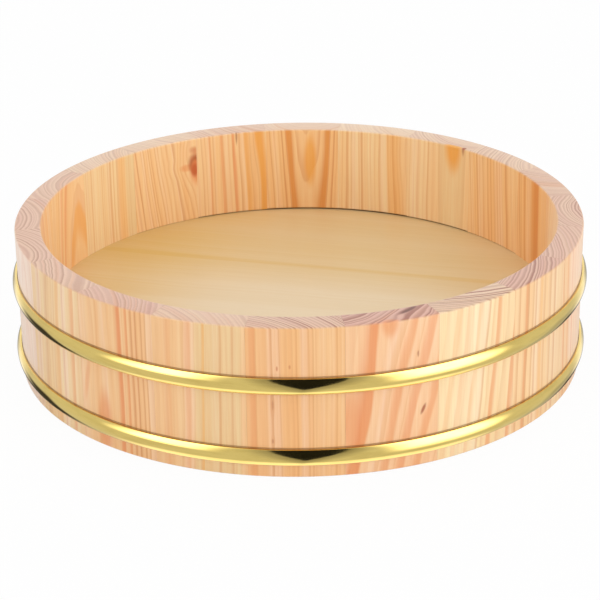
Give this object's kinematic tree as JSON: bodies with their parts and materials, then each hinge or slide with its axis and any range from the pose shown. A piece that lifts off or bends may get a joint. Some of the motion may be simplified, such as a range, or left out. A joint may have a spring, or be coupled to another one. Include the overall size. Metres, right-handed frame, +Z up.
{
  "type": "sushi rice tub",
  "caption": "Round coopered wooden tub for sushi rice: upright pine staves pegged edge to edge, a recessed bottom board, and domed gold-coloured hoops.",
  "frame": {"origin": "centre of the tub's foot, on the table", "axes": "+Z up the tub's axis, -Y the front as pictured, +X to the right of it"},
  "size_m": [0.3362, 0.3362, 0.086],
  "materials": {
    "pine": "clear satin over straight-grained pine",
    "plywood": "clear semi-gloss lacquer over pale veneer",
    "bamboo": "raw split bamboo",
    "gilt_metal": "polished gold-coloured metal"
  },
  "bodies": {
    "root": {"stave_01": "pine", "stave_02": "pine", "stave_03": "pine", "stave_04": "pine", "stave_05": "pine", "stave_06": "pine", "stave_07": "pine", "stave_08": "pine", "stave_09": "pine", "stave_10": "pine", "stave_11": "pine", "stave_12": "pine", "stave_13": "pine", "stave_14": "pine", "stave_15": "pine", "stave_16": "pine", "stave_17": "pine", "stave_18": "pine", "stave_19": "pine", "stave_20": "pine", "peg_01": "bamboo", "peg_02": "bamboo", "peg_03": "bamboo", "peg_04": "bamboo", "peg_05": "bamboo", "peg_06": "bamboo", "peg_07": "bamboo", "peg_08": "bamboo", "peg_09": "bamboo", "peg_10": "bamboo", "peg_11": "bamboo", "peg_12": "bamboo", "peg_13": "bamboo", "peg_14": "bamboo", "peg_15": "bamboo", "peg_16": "bamboo", "peg_17": "bamboo", "peg_18": "bamboo", "peg_19": "bamboo", "peg_20": "bamboo", "bottom_board": "plywood", "upper_hoop": "gilt_metal", "lower_hoop": "gilt_metal"}
  },
  "joints": []
}
